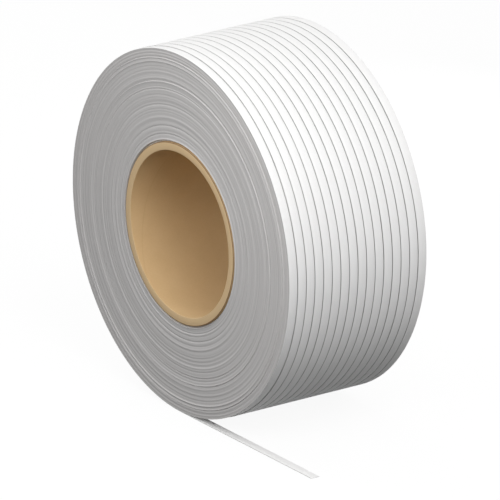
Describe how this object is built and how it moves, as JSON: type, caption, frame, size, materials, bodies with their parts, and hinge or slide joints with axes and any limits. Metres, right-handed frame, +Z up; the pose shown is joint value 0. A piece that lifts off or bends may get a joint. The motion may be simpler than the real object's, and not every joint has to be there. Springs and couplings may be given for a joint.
{
  "type": "plastic strapping roll",
  "caption": "Roll of white plastic strapping wound in bands side by side on a paperboard core, for tying up parcels, pallets and bundles.",
  "frame": {"origin": "middle of the roll, on the core's axis", "axes": "+Z up, as the roll stands on its rim; Y along the core's axis, with the end that the strap's free end lies at facing -Y; +X the way the free end runs"},
  "size_m": [0.486, 0.196, 0.442],
  "materials": {
    "paperboard": "matte",
    "strap_plastic": "satin"
  },
  "bodies": {
    "root": {"core_tube": "paperboard", "strap": "strap_plastic"}
  },
  "joints": []
}
